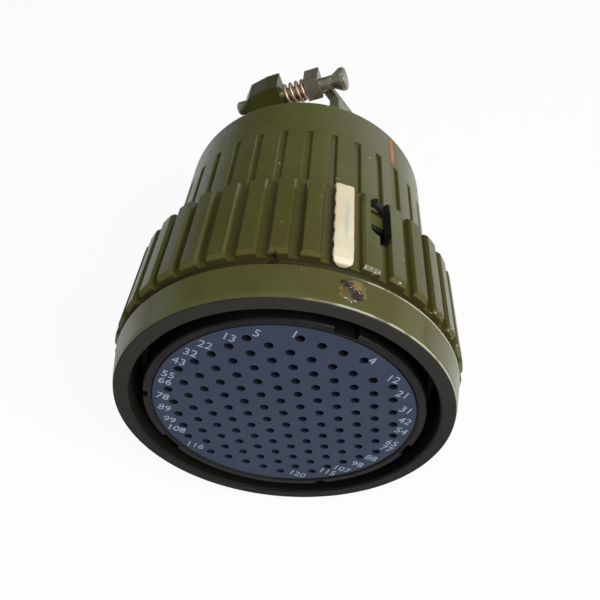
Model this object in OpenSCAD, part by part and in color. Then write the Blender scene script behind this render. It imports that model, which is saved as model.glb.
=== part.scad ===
// Push-pull circular connector, cable plug with socket contacts, lying on its side.
// The mating face looks towards -Y, the cable leaves towards +Y, +Z is up.
// The origin is on the plug's axis in the plane of the insert's face. All lengths in mm.
// Clock angles are counted from +Z towards +X, as seen when looking at the mating face.

/* [Contacts] */
// Distance between neighbouring contacts
contact_pitch = 3.5; // [3.4:0.05:3.6]
// Diameter of the contact cavities in the insert
cavity_d = 1.5; // [1.4:0.05:1.7]
// Diameter of the pin that a socket takes
socket_bore_d = 1.0; // [0.8:0.05:1.1]
// Depth of a socket's mouth below the insert's face
socket_recess = 1.0; // [0.5:0.1:2]
// Depth of the bore in a socket
socket_bore_depth = 8; // [5:0.5:10]
// Length of a solder cup behind the grommet
cup_reach = 3.4; // [2.5:0.1:4]
// Depth of the solder cup's bore
cup_depth = 3; // [2:0.5:4]
// Shift of the keyed side's outermost row away from the centre
key_row_rise = 0.6; // [0:0.1:0.8]

/* [Insert] */
// Distance from the outermost contacts to the insert's edge
insert_edge = 2.494; // [2.4:0.002:2.8]
// Length of the front insert
front_insert_len = 9; // [7:0.5:10]
// Length of the rear insert
rear_insert_len = 11; // [9:0.5:12]
// Step in radius of the rear insert's flange
insert_flange = 0.4; // [0.3:0.05:0.5]
// Thickness of the wire sealing grommet
grommet_len = 4; // [3:0.5:5]
// Thickness of the ring that holds the inserts
retainer_len = 1.2; // [0.8:0.1:2]
// Radial width of that ring
retainer_w = 2.4; // [1.5:0.1:3]
// Clock angle of the main key
key_clock = 23.9; // [0:0.1:360]

/* [Barrel] */
// Wall of the barrel's nose
nose_wall = 1.6; // [1.4:0.05:1.8]
// How far the nose stands out past the insert's face
barrel_proud = 0.25; // [0.1:0.05:0.5]
// Depth of the keyways
keyway_depth = 0.9; // [0.6:0.1:1]
// Chamfer round the mouth of the barrel's bore
mouth_chamfer = 0.45; // [0.25:0.1:0.55]
// Distance from the insert's face to the barrel's skirt
skirt_front = 6.7; // [5:0.1:8]
// Gap between the nose and the skirt
skirt_gap = 0.75; // [0.7:0.05:0.9]
// Wall of the skirt
skirt_wall = 1.1; // [0.9:0.05:1.2]
// Depth of the seal groove inside the skirt
skirt_groove_len = 4.1; // [3:0.1:4.3]
// Length of the collar behind the groove
collar_len = 2.2; // [1.8:0.1:2.5]
// Thickness of the rubber seal in the groove
seal_len = 1.2; // [0.8:0.1:2]
// Depth of the seal's seat below the barrel's nose
seal_undercut = 0.4; // [0.3:0.05:0.5]
// Wall of the barrel behind the collar
body_wall = 1.55; // [1.4:0.05:1.65]
// Length of the barrel behind the collar
body_len = 25; // [24:0.5:27]

/* [Coupling sleeve] */
// Gap between the skirt and the sleeve's bore
sleeve_gap = 0.35; // [0.3:0.05:0.45]
// Wall of the sleeve at its front rim
rim_wall = 2.45; // [2.1:0.05:2.6]
// How far the rim stands out past the insert's face
rim_proud = 0.74; // [0.4:0.02:1.2]
// Wall of the sleeve at the smooth band's rear edge
band_wall = 3.55; // [3.2:0.05:3.7]
// Distance from the insert's face to the band's rear edge
band_rear = 5.1; // [4.5:0.1:5.5]
// Wall of the sleeve at the bottom of the recess
recess_wall = 2.25; // [2:0.05:2.6]
// Width of the recess
recess_len = 1.75; // [1:0.05:2.2]
// Wall of the sleeve at its ribs
rib_wall = 4.3; // [4.1:0.05:4.6]
// Length of the ribs
rib_len = 18.35; // [17.5:0.05:19]
// Number of grooves between the ribs
rib_count = 40; // [36:1:44]
// Depth of the grooves between the ribs
rib_depth = 1.3; // [0.8:0.1:1.4]
// Width of a rib groove where it opens
rib_groove_w = 2.3; // [1.6:0.1:2.8]
// Clock angle of a rib groove
rib_clock = 2.9; // [0:0.1:9]
// Chamfer at the ribs' ends
rib_chamfer = 0.6; // [0.3:0.1:0.9]
// Thickness of the sleeve's inner lip
lip_len = 1.5; // [1:0.1:2]
// Wall of the ribs behind the lip
rear_wall = 1.95; // [1.85:0.05:2.1]
// Pull travel of the sleeve
pull_travel = 3.5; // [2:0.1:3.6]
// Twist travel of the sleeve in degrees
twist_travel = 27.5; // [15:0.5:30]
// Clock angle of the viewing window's straight side
window_clock = 32.1; // [28:0.1:36]
// Width of the window
window_w = 3.8; // [3:0.1:5]
// Distance from the window to the sleeve's rear end
window_margin = 0.5; // [0.4:0.1:1]
// Length of the window
window_len = 9.7; // [8:0.1:9.8]
// Radius of the window's front end
window_front_r = 2.2; // [2:0.1:4]
// Diameter of the band screw
band_screw_d = 2.5; // [2:0.1:3]
// Diameter of the band screw's head
band_screw_head_d = 3.3; // [3:0.1:3.8]
// Clock angle of the band screw
band_screw_clock = 19.5; // [0:0.5:40]

/* [Coupling spring] */
// Wire diameter of the coupling spring
spring_wire_d = 1.1; // [0.8:0.1:1.2]
// Turns of the coupling spring
spring_turns = 3; // [2:1:3]
// Thickness of the thrust ring
thrust_len = 0.8; // [0.5:0.1:1.2]
// Distance between the thrust ring and the spring seat nut
nut_reach = 3.85; // [3.75:0.05:4.2]
// Length of the spring seat nut
nut_len = 4.5; // [4.5:0.1:5]
// Thickness of the nut's web behind the spring
nut_web = 1.3; // [1:0.1:1.3]
// Diameter of the stop pins
stop_pin_d = 1.0; // [0.8:0.1:1.1]

/* [Rear shell] */
// Wall of the rear shell
shell_wall = 2; // [1.95:0.05:2.1]
// Gap between the nut and the shell
shell_gap = 0.7; // [0.6:0.1:1.2]
// Length of the front flange that the sleeve slides over
shell_flange_len = 2.9; // [2.5:0.1:3]
// Length of the rear shell
shell_len = 33.4; // [32:0.2:35]
// Step from the shell's thread to its cavity
cavity_step = 0.15; // [0.1:0.05:0.3]
// Width of the shell's rear shoulder
shoulder_w = 4.05; // [3.5:0.05:4.5]
// Thickness of the shell's rear shoulder
rear_wall_len = 4; // [3:0.5:6]
// Number of grip grooves in the shell
shell_groove_count = 34; // [30:1:36]
// Depth of the grip grooves
shell_groove_depth = 0.7; // [0.4:0.1:0.9]
// Width of a grip groove where it opens
shell_groove_w = 1.5; // [1:0.1:2]
// Length of the smooth end behind the grooves
smooth_len = 11.3; // [9:0.1:14]
// Clock angle of a grip groove
shell_groove_clock = 3.5; // [0:0.1:10]
// Wire diameter of the O-ring between barrel and shell
o_ring_d = 1.0; // [0.8:0.1:1.2]

/* [Cable clamp] */
// Angle of the clamp screws above the X axis in degrees
clamp_roll = 19; // [0:1:40]
// Distance from the clamp's flange to its screws
clamp_reach = 13.8; // [12:0.2:16]
// Distance of the clamp screws outside the neck
screw_step = 0.5; // [0.3:0.1:1.5]
// Step in radius from the clamp's tube to its neck
neck_step = 1.95; // [1.5:0.05:3]
// Width of the fixed saddle along the cable
saddle_w = 6.5; // [6:0.1:7]
// Thickness of the fixed saddle round the cable
saddle_wall = 3; // [2:0.1:4]
// Thickness of the moving saddle's strap
strap_t = 2; // [1.5:0.1:2.2]
// Thickness of the moving saddle's ears
ear_t = 3.3; // [3:0.1:3.5]
// Gap between the fixed ears and the moving ears
ear_gap = 5.6; // [5:0.1:6]
// Thread diameter of the clamp screws
screw_d = 3; // [2.5:0.1:3]
// Length of a clamp screw under its head
screw_len = 22.8; // [22:0.1:24]
// Diameter of the clamp screws' heads
screw_head_d = 5; // [4.6:0.1:5.5]
// Free travel of the moving saddle up to the screw heads
saddle_travel = 2.6; // [2:0.1:2.8]
// Wire diameter of the saddle springs
saddle_wire_d = 0.8; // [0.5:0.05:0.9]
// Turns of a saddle spring
saddle_turns = 4; // [3:1:5]

/* [Clearances] */
// Radial running clearance of the sliding sleeve
running = 0.1; // [0.05:0.01:0.1]
// Radial clearance of fixed parts
fixed_gap = 0.05; // [0.02:0.01:0.1]
// Free end gap between turned parts
end_gap = 0.1; // [0.05:0.05:0.2]

/* [Hidden] */
$fn = 96;
eps = 0.01;

row_counts = [4, 8, 9, 10, 11, 12, 11, 12, 11, 10, 9, 8, 5];
keyway_angles = [0, 88.5, 139.3, 219.2, 255.6];
keyway_arcs = [9.5, 8, 4.5, 11, 4];

row_step = contact_pitch * sin(60);
middle_row = (len(row_counts) - 1) / 2;
cavities = [for (row = [0 : len(row_counts) - 1])
    for (i = [0 : row_counts[row] - 1])
    [(i - (row_counts[row] - 1) / 2) * contact_pitch,
     (middle_row - row) * row_step + (row == 0 ? key_row_rise : 0)]];

field_r = max([for (c = cavities) norm(c)]);
insert_d = 2 * (field_r + insert_edge);
insert_bore_r = insert_d / 2 + fixed_gap;
rear_insert_r = insert_d / 2 + insert_flange;
rear_insert_bore_r = rear_insert_r + fixed_gap;
rear_insert_y = front_insert_len + fixed_gap;
grommet_y = rear_insert_y + rear_insert_len + fixed_gap;
grommet_end = grommet_y + grommet_len;
retainer_y = grommet_end + fixed_gap;
retainer_groove_r = rear_insert_bore_r + 0.7;
contact_len = grommet_end + cup_reach - socket_recess;

nose_r = insert_bore_r + nose_wall;
skirt_bore_r = nose_r + skirt_gap;
skirt_r = skirt_bore_r + skirt_wall;
sleeve_bore_r = skirt_r + sleeve_gap;
rim_r = sleeve_bore_r + rim_wall;
band_r = sleeve_bore_r + band_wall;
recess_r = sleeve_bore_r + recess_wall;
rib_r = sleeve_bore_r + rib_wall;
sleeve_rear_bore_r = rib_r - rear_wall;

groove_end = skirt_front + skirt_groove_len;
collar_rear = groove_end + collar_len;
barrel_rear = collar_rear + body_len;
collar_r = sleeve_bore_r - running;
body_r = rear_insert_bore_r + body_wall;
lip_r = body_r + running;
lip_y = collar_rear + end_gap;
thrust_y = lip_y + lip_len + fixed_gap;
spring_y = thrust_y + thrust_len;
spring_mean_r = body_r + 0.3 + spring_wire_d / 2;
spring_room_r = spring_mean_r + spring_wire_d / 2 + 0.8;
nut_front = spring_y + nut_reach;
nut_rear = nut_front + nut_len;
spring_end_y = nut_rear - nut_web;
nut_slot_w = 2.4;
nut_slot_depth = 1.2;
nut_slot_wall = 1.5;
stop_r = (body_r + collar_r) / 2;
stop_slot_w = stop_pin_d + 2 * running;
stop_margin = 2;
stop_root_y = groove_end + 0.7;
seal_seat_r = nose_r - seal_undercut;
seal_y = groove_end - seal_len;
keyway_rear = seal_y - 0.4;

rib_y = band_rear + recess_len;
sleeve_rear = rib_y + rib_len;
window_rear = sleeve_rear - window_margin;
window_front = window_rear - window_len;
flange_r = sleeve_rear_bore_r - running;

shell_r = body_r + fixed_gap + shell_wall;
cavity_bore_r = body_r + fixed_gap + cavity_step;
rear_bore_r = shell_r - shoulder_w;
shell_front = nut_rear + shell_gap;
shell_body_y = shell_front + shell_flange_len;
shell_rear = shell_front + shell_len;
groove_rear = shell_rear - smooth_len;
shoulder_y = shell_rear - rear_wall_len;
o_ring_y = barrel_rear - 1.2;
o_ring_groove_r = body_r + fixed_gap - o_ring_d;

// clamp frame: x along the screws from the fixed saddle to the screw heads
flange_y = shell_rear + fixed_gap;
flange_t = 1.5;
clamp_tube_r = rear_bore_r - fixed_gap;
clamp_flange_r = clamp_tube_r + 2;
clamp_nut_len = 3;
clamp_nut_r = cavity_bore_r - 0.3;
neck_r = clamp_tube_r - neck_step;
neck_bore_r = neck_r - saddle_wall;
cable_r = neck_bore_r - saddle_wall;
clamp_y = flange_y + clamp_reach;
screw_offset = neck_r + screw_step;
saddle_lead = 2.75;
saddle_front = clamp_y - saddle_lead;
saddle_rear = saddle_front + saddle_w;
fixed_face = 1;
ear_face = fixed_face + ear_gap;
ear_back = ear_face + ear_t;
head_x = ear_back + saddle_travel + 0.3;
ear_half_w = 2.6;
ear_low = screw_offset - ear_half_w;
ear_high = screw_offset + ear_half_w;
ear_inset = 1;

// the strap's legs run from a tangent on the arc to a point behind each ear
strap_r = cable_r + 0.8 + strap_t;
leg_end = [ear_back + 1.5, ear_low + 0.76];
strap_lean = atan2(leg_end[1], leg_end[0]) - acos(strap_r / norm(leg_end));
leg_len = sqrt(norm(leg_end) * norm(leg_end) - strap_r * strap_r);
leg_toe = 2.5;
leg_cut = ear_low - 2.5;
leg_rear = 1.9;
leg_notch = 0.5;

// end of the strap's leg that starts at radius r and runs off along the tangent
function leg_point(r, side, len) =
    [r * cos(strap_lean) - len * sin(strap_lean),
     side * (r * sin(strap_lean) + len * cos(strap_lean))];

module along() {
    rotate([-90, 0, 0]) children();
}

module at_clock(angle) {
    rotate([0, 0, angle - 90]) children();
}

// clamp frame: x along the screws, y from one screw to the other, z along the cable
module clamp_frame() {
    along() at_clock(90 - clamp_roll) children();
}

module tube(r_out, r_in, from, to) {
    translate([0, 0, from])
        difference() {
            cylinder(r = r_out, h = to - from);
            translate([0, 0, -eps]) cylinder(r = r_in, h = to - from + 2 * eps);
        }
}

// a groove cutter along the axis: narrow at its floor, flared where it opens
module groove_cutter(floor_r, crest_r, mouth_w, from, to) {
    depth = crest_r - floor_r;
    translate([0, 0, from])
        linear_extrude(height = to - from)
            polygon([
                [floor_r, -mouth_w * 0.32],
                [floor_r + depth * 0.65, -mouth_w * 0.37],
                [crest_r, -mouth_w * 0.5],
                [crest_r + 1, -mouth_w * 0.5],
                [crest_r + 1, mouth_w * 0.5],
                [crest_r, mouth_w * 0.5],
                [floor_r + depth * 0.65, mouth_w * 0.37],
                [floor_r, mouth_w * 0.32]]);
}

// a helical wire: rings of a round section carried round a helix
module coil(mean_r, wire_d, turns, height, steps = 14, sides = 8) {
    n = turns * steps;
    rise = height - wire_d;
    points = [for (i = [0 : n]) for (k = [0 : sides - 1])
        let (a = 360 * i / steps, b = 360 * k / sides,
             r = mean_r + wire_d / 2 * cos(b))
        [r * cos(a), r * sin(a), wire_d / 2 + rise * i / n + wire_d / 2 * sin(b)]];
    walls = [for (i = [0 : n - 1]) for (k = [0 : sides - 1])
        [i * sides + k, i * sides + (k + 1) % sides,
         (i + 1) * sides + (k + 1) % sides, (i + 1) * sides + k]];
    polyhedron(points = points,
        faces = concat(walls,
            [[for (k = [sides - 1 : -1 : 0]) k]],
            [[for (k = [0 : sides - 1]) n * sides + k]]),
        convexity = 6);
}

module sleeve_blank() {
    rotate_extrude()
        polygon([
            [sleeve_bore_r, -rim_proud + 0.3],
            [sleeve_bore_r + 0.3, -rim_proud],
            [rim_r - 0.15, -rim_proud],
            [rim_r, -rim_proud + 0.15],
            [rim_r + 0.25, 0.2],
            [band_r, band_rear - 0.25],
            [band_r - 0.25, band_rear],
            [recess_r + 0.3, band_rear],
            [recess_r, band_rear + 0.3],
            [recess_r, rib_y],
            [rib_r - rib_chamfer, rib_y],
            [rib_r, rib_y + rib_chamfer],
            [rib_r, sleeve_rear - rib_chamfer],
            [rib_r - rib_chamfer, sleeve_rear],
            [sleeve_rear_bore_r, sleeve_rear],
            [sleeve_rear_bore_r, lip_y + lip_len],
            [lip_r, lip_y + lip_len],
            [lip_r, lip_y],
            [sleeve_bore_r, lip_y]]);
}

// window with straight sides, a round rear end and a shallower round front end
module window_cutter() {
    at_clock(window_clock)
        translate([sleeve_rear_bore_r - 1, -window_w / 2, 0])
            rotate([90, 0, 90])
                linear_extrude(height = rib_r)
                    intersection() {
                        translate([-window_w / 2, window_front])
                            square([window_w, window_len]);
                        union() {
                            translate([0, window_front + window_front_r])
                                circle(r = window_front_r, $fn = 48);
                            translate([-window_w / 2, window_front + window_front_r])
                                square([window_w, window_len - window_front_r - window_w / 2]);
                            translate([0, window_rear - window_w / 2])
                                circle(d = window_w, $fn = 48);
                        }
                    }
}

module coupling_sleeve() {
    color([0.34, 0.34, 0.19])
    along() difference() {
        sleeve_blank();
        for (i = [0 : rib_count - 1])
            at_clock(rib_clock + i * 360 / rib_count)
                groove_cutter(rib_r - rib_depth, rib_r, rib_groove_w,
                    rib_y - eps, sleeve_rear + eps);
        window_cutter();
        at_clock(band_screw_clock) {
            translate([0, 0, band_rear / 2]) rotate([0, 90, 0])
                cylinder(d = band_screw_d + 2 * fixed_gap, h = rib_r);
            translate([band_r - 1.3, 0, band_rear / 2]) rotate([0, 90, 0])
                cylinder(d = band_screw_head_d + 2 * fixed_gap, h = 3);
        }
        for (i = [0 : 2])
            at_clock(key_clock + i * 120 - stop_margin)
                translate([0, 0, lip_y - eps])
                    rotate_extrude(angle = twist_travel + 2 * stop_margin)
                        translate([body_r, 0])
                            square([stop_r + stop_slot_w / 2 - body_r, lip_len + 2 * eps]);
    }
}

module barrel_blank() {
    rotate_extrude()
        polygon([
            [insert_bore_r + mouth_chamfer, -barrel_proud],
            [nose_r - 0.2, -barrel_proud],
            [nose_r, -barrel_proud + 0.2],
            [nose_r, seal_y],
            [seal_seat_r, seal_y],
            [seal_seat_r, groove_end],
            [skirt_bore_r, groove_end],
            [skirt_bore_r, skirt_front],
            [skirt_r, skirt_front],
            [skirt_r, groove_end],
            [collar_r, groove_end],
            [collar_r, collar_rear],
            [body_r, collar_rear],
            [body_r, barrel_rear],
            [rear_insert_bore_r, barrel_rear],
            [rear_insert_bore_r, front_insert_len],
            [insert_bore_r, front_insert_len],
            [insert_bore_r, -barrel_proud + mouth_chamfer]]);
}

module plug_barrel() {
    color([0.2, 0.2, 0.19])
    along() difference() {
        barrel_blank();
        for (i = [0 : len(keyway_angles) - 1])
            at_clock(key_clock + keyway_angles[i] - keyway_arcs[i] / 2)
                translate([0, 0, -barrel_proud - eps])
                    rotate_extrude(angle = keyway_arcs[i])
                        translate([nose_r - keyway_depth, 0])
                            square([keyway_depth + 0.3, keyway_rear + barrel_proud]);
        for (i = [0 : 2])
            at_clock(key_clock + twist_travel + i * 120)
                translate([stop_r, 0, stop_root_y])
                    cylinder(d = stop_pin_d + fixed_gap, h = collar_rear);
        tube(retainer_groove_r, rear_insert_bore_r - eps,
            retainer_y, retainer_y + retainer_len + end_gap);
        tube(body_r + eps, o_ring_groove_r - 0.04,
            o_ring_y - o_ring_d / 2 - end_gap, o_ring_y + o_ring_d / 2 + end_gap);
    }
}

module cavity_row(d, from, to) {
    at_clock(key_clock)
        for (c = cavities)
            translate([c[1], c[0], from]) cylinder(d = d, h = to - from, $fn = 24);
}

module front_insert() {
    color([0.2, 0.24, 0.37])
    along() difference() {
        cylinder(d = insert_d, h = front_insert_len);
        cavity_row(cavity_d, -1, front_insert_len + 1);
    }
}

module rear_insert() {
    color([0.25, 0.2, 0.15])
    along() difference() {
        translate([0, 0, rear_insert_y]) cylinder(r = rear_insert_r, h = rear_insert_len);
        cavity_row(cavity_d, front_insert_len, grommet_y + 1);
    }
}

module wire_grommet() {
    color([0.5, 0.25, 0.18])
    along() difference() {
        translate([0, 0, grommet_y]) cylinder(r = rear_insert_r, h = grommet_len);
        cavity_row(cavity_d, grommet_y - 1, grommet_y + grommet_len + 1);
    }
}

module socket_contacts() {
    color([0.8, 0.65, 0.3])
    along() at_clock(key_clock)
        for (c = cavities)
            translate([c[1], c[0], socket_recess]) difference() {
                cylinder(d = cavity_d - fixed_gap, h = contact_len, $fn = 24);
                translate([0, 0, -eps])
                    cylinder(d = socket_bore_d, h = socket_bore_depth, $fn = 24);
                translate([0, 0, contact_len - cup_depth])
                    cylinder(d = socket_bore_d, h = cup_depth + eps, $fn = 24);
            }
}

module insert_retainer() {
    color("silver")
    along() at_clock(key_clock + 190)
        translate([0, 0, retainer_y + end_gap / 2])
            rotate_extrude(angle = 340)
                translate([retainer_groove_r - running - retainer_w, 0])
                    square([retainer_w, retainer_len]);
}

module shell_seal() {
    color([0.12, 0.12, 0.12])
    along() tube(skirt_bore_r - fixed_gap, seal_seat_r + fixed_gap,
        seal_y + 2 * end_gap, groove_end);
}

module thrust_ring() {
    color("silver")
    along() tube(flange_r, lip_r, thrust_y, spring_y);
}

module coupling_spring() {
    color([0.6, 0.6, 0.58])
    along() translate([0, 0, spring_y])
        coil(spring_mean_r, spring_wire_d, spring_turns, spring_end_y - spring_y, 32);
}

module spring_seat_nut() {
    color([0.34, 0.34, 0.19])
    along() difference() {
        tube(flange_r, body_r + fixed_gap, nut_front, nut_rear);
        tube(spring_room_r, body_r, nut_front - eps, spring_end_y);
        for (i = [0 : 3])
            at_clock(75 + i * 90)
                translate([body_r, -nut_slot_w / 2, nut_rear - nut_slot_depth])
                    cube([flange_r - body_r - nut_slot_wall, nut_slot_w, 2 * nut_slot_depth]);
    }
}

module stop_pins() {
    color("silver")
    along() for (i = [0 : 2])
        at_clock(key_clock + twist_travel + i * 120)
            translate([stop_r, 0, stop_root_y])
                cylinder(d = stop_pin_d, h = lip_y + lip_len - 0.2 - stop_root_y);
}

module band_screw() {
    color([0.55, 0.42, 0.2])
    along() at_clock(band_screw_clock)
        translate([0, 0, band_rear / 2]) rotate([0, 90, 0]) difference() {
            union() {
                translate([0, 0, sleeve_bore_r + 0.2])
                    cylinder(d = band_screw_d, h = band_r - sleeve_bore_r - 0.8);
                translate([0, 0, band_r - 1.3])
                    cylinder(d = band_screw_head_d, h = 0.75);
            }
            translate([-band_screw_d, -0.25, band_r - 0.95])
                cube([2 * band_screw_d, 0.5, 1]);
        }
}

module rear_shell() {
    round_r = 0.9;
    color([0.32, 0.32, 0.17])
    along() difference() {
        rotate_extrude()
            polygon(concat(
                [[body_r + fixed_gap, shell_front],
                 [flange_r - 0.2, shell_front],
                 [flange_r, shell_front + 0.2],
                 [flange_r, shell_body_y - 0.2],
                 [flange_r - 0.2, shell_body_y],
                 [shell_r, shell_body_y]],
                [for (a = [0 : 15 : 90])
                    [shell_r - round_r + round_r * cos(a),
                     shell_rear - round_r + round_r * sin(a)]],
                [[rear_bore_r, shell_rear],
                 [rear_bore_r, shoulder_y],
                 [cavity_bore_r, shoulder_y],
                 [cavity_bore_r, barrel_rear + 0.5],
                 [body_r + fixed_gap, barrel_rear]]));
        for (i = [0 : shell_groove_count - 1])
            at_clock(shell_groove_clock + i * 360 / shell_groove_count)
                groove_cutter(shell_r - shell_groove_depth, shell_r, shell_groove_w,
                    shell_body_y + 0.4, groove_rear);
    }
}

module shell_o_ring() {
    color([0.12, 0.12, 0.12])
    along() translate([0, 0, o_ring_y])
        rotate_extrude()
            translate([o_ring_groove_r + o_ring_d / 2 - 0.02, 0])
                circle(d = o_ring_d, $fn = 24);
}

module clamp_nut() {
    color("silver")
    along() difference() {
        tube(clamp_nut_r, clamp_tube_r + fixed_gap,
            shoulder_y - clamp_nut_len, shoulder_y - fixed_gap);
        for (i = [0 : 3])
            at_clock(i * 90)
                translate([clamp_tube_r + clamp_nut_len / 4, -nut_slot_w / 2,
                           shoulder_y - clamp_nut_len - eps])
                    cube([clamp_nut_len, nut_slot_w, nut_slot_depth]);
    }
}

module clamp_body() {
    color([0.22, 0.22, 0.14])
    clamp_frame() {
        difference() {
            union() {
                tube(clamp_tube_r, neck_bore_r, shoulder_y - clamp_nut_len - 0.5,
                    flange_y + 0.1);
                tube(clamp_flange_r, neck_bore_r, flange_y, flange_y + flange_t);
                difference() {
                    union() {
                        translate([0, 0, flange_y + 1])
                            cylinder(r = neck_r, h = saddle_rear - flange_y - 1);
                        fixed_ears();
                    }
                    translate([fixed_face, -2 * neck_r, flange_y + flange_t])
                        cube([2 * neck_r, 4 * neck_r, 2 * neck_r]);
                    translate([-fixed_face / 2, -neck_r, flange_y + flange_t - eps])
                        cube([neck_r, 2 * neck_r, saddle_front - flange_y - flange_t]);
                    translate([0, 0, saddle_front - eps]) cylinder(r = cable_r, h = saddle_w + 1);
                    translate([0, 0, flange_y])
                        cylinder(r = neck_bore_r, h = saddle_front - flange_y);
                }
            }
            for (side = [-1, 1])
                translate([-neck_r, side * screw_offset, clamp_y])
                    rotate([0, 90, 0]) cylinder(d = screw_d + 2 * fixed_gap, h = 2 * neck_r);
        }
    }
}

module fixed_ears() {
    for (side = [-1, 1])
        translate([0, 0, saddle_front])
            linear_extrude(height = saddle_w)
                polygon([
                    [-8, side * neck_r / 2],
                    [-8, side * (screw_offset + 1)],
                    [-6, side * (screw_offset + 3.1)],
                    [-1.8, side * (screw_offset + 3.9)],
                    [fixed_face, side * (screw_offset + 3.9)],
                    [fixed_face, side * neck_r / 2]]);
}

module moving_saddle() {
    color([0.5, 0.5, 0.45])
    clamp_frame() difference() {
        union() {
            translate([0, 0, saddle_front + ear_inset]) strap(saddle_w - ear_inset);
            for (side = [-1, 1])
                translate([ear_face, side > 0 ? ear_low : -ear_high,
                           saddle_front + ear_inset])
                    cube([ear_t, ear_high - ear_low, saddle_w - ear_inset]);
        }
        for (side = [-1, 1]) {
            translate([0, side * screw_offset, clamp_y]) rotate([0, 90, 0])
                cylinder(d = screw_d + 2 * running, h = 20);
            translate([ear_face - 1, side > 0 ? leg_cut : -ear_low - leg_notch, saddle_front])
                cube([2 * ear_t, ear_low + leg_notch - leg_cut, saddle_lead + leg_rear]);
            translate([ear_back, side > 0 ? leg_cut : -ear_high, saddle_front])
                cube([ear_t, ear_high - leg_cut, saddle_lead + leg_rear]);
        }
    }
}

// the strap: a shallow arc with a straight leg up to each ear
module strap(width) {
    inner_r = strap_r - strap_t;
    linear_extrude(height = width)
        polygon(concat(
            [leg_point(strap_r, -1, leg_len)],
            [for (a = [-strap_lean : strap_lean / 8 : strap_lean + eps])
                [strap_r * cos(a), strap_r * sin(a)]],
            [leg_point(strap_r, 1, leg_len)],
            [leg_point(inner_r, 1, leg_len + leg_toe)],
            [for (a = [strap_lean : -strap_lean / 8 : -strap_lean - eps])
                [inner_r * cos(a), inner_r * sin(a)]],
            [leg_point(inner_r, -1, leg_len + leg_toe)]));
}

module clamp_screws() {
    color([0.55, 0.55, 0.4])
    clamp_frame() for (side = [-1, 1])
        translate([head_x - screw_len, side * screw_offset, clamp_y])
            rotate([0, 90, 0]) difference() {
                rotate_extrude()
                    polygon([
                        [0, 0],
                        [screw_d / 2 - 0.4, 0],
                        [screw_d / 2, 0.4],
                        [screw_d / 2, screw_len],
                        [screw_head_d / 2, screw_len + 1.8],
                        [screw_head_d / 2, screw_len + 2.7],
                        [screw_head_d / 2 - 0.4, screw_len + 3],
                        [0, screw_len + 3.2]]);
                translate([-0.4, -screw_head_d, screw_len + 2.2])
                    cube([0.8, 2 * screw_head_d, 2]);
            }
}

module saddle_springs() {
    color([0.7, 0.45, 0.3])
    clamp_frame() for (side = [-1, 1])
        translate([fixed_face, side * screw_offset, clamp_y])
            rotate([0, 90, 0])
                coil(screw_d / 2 + 0.2 + saddle_wire_d / 2, saddle_wire_d, saddle_turns,
                    ear_gap);
}

coupling_sleeve();
plug_barrel();
front_insert();
rear_insert();
wire_grommet();
socket_contacts();
insert_retainer();
shell_seal();
thrust_ring();
coupling_spring();
spring_seat_nut();
stop_pins();
band_screw();
rear_shell();
shell_o_ring();
clamp_body();
clamp_nut();
moving_saddle();
clamp_screws();
saddle_springs();
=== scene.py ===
import math
import types

import bpy
import numpy as np
from mathutils import Matrix, Vector


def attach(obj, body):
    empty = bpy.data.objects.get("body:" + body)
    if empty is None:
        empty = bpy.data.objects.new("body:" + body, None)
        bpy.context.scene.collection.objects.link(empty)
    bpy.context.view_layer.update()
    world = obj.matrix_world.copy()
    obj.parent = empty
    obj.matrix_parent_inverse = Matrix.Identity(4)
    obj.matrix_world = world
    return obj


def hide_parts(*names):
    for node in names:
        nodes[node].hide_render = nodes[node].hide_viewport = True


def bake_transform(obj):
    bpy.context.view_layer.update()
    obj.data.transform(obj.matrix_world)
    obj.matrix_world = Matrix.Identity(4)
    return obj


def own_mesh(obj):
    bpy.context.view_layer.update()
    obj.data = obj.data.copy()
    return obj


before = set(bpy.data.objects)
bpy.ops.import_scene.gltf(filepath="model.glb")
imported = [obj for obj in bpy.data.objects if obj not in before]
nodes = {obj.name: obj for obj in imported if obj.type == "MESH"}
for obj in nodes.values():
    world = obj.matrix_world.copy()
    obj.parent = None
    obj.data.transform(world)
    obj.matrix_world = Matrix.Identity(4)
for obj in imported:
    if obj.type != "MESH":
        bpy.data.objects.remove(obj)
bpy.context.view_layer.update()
mm = 0.001

bpy.context.scene.view_settings.view_transform = "Standard"


def newMaterial(name):
    material = bpy.data.materials.new(name)
    material.use_nodes = True
    tree = material.node_tree
    return material, tree, tree.nodes["Principled BSDF"]


def addNode(tree, kind, **values):
    node = tree.nodes.new(kind)
    for key, value in values.items():
        setattr(node, key, value)
    return node


def fill(tree, socket, value):
    # a number or a colour is set on the socket itself, and another node's output is linked to it
    if isinstance(value, (int, float)):
        socket.default_value = value
    elif isinstance(value, (tuple, list)):
        socket.default_value = (*value, 1.0)
    else:
        tree.links.new(value, socket)


def fillAll(tree, node, values):
    for name, value in values.items():
        fill(tree, node.inputs[name], value)


def mathNode(tree, operation, first, second=0.0):
    node = addNode(tree, "ShaderNodeMath", operation=operation)
    fill(tree, node.inputs[0], first)
    fill(tree, node.inputs[1], second)
    return node.outputs[0]


def product(tree, *values):
    result = values[0]
    for value in values[1:]:
        result = mathNode(tree, "MULTIPLY", result, value)
    return result


def stepUp(tree, value, low, high):
    # 0 below low, 1 above high, smooth between them
    node = addNode(tree, "ShaderNodeMapRange", interpolation_type="SMOOTHSTEP")
    fillAll(tree, node, {"Value": value, "From Min": low, "From Max": high})
    return node.outputs[0]


def stepDown(tree, value, low, high):
    # 1 below low, 0 above high
    return mathNode(tree, "SUBTRACT", 1.0, stepUp(tree, value, low, high))


def within(tree, value, rise, fall):
    # 1 between two soft edges, each given as where it starts and ends
    return product(tree, stepUp(tree, value, *rise), stepDown(tree, value, *fall))


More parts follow.
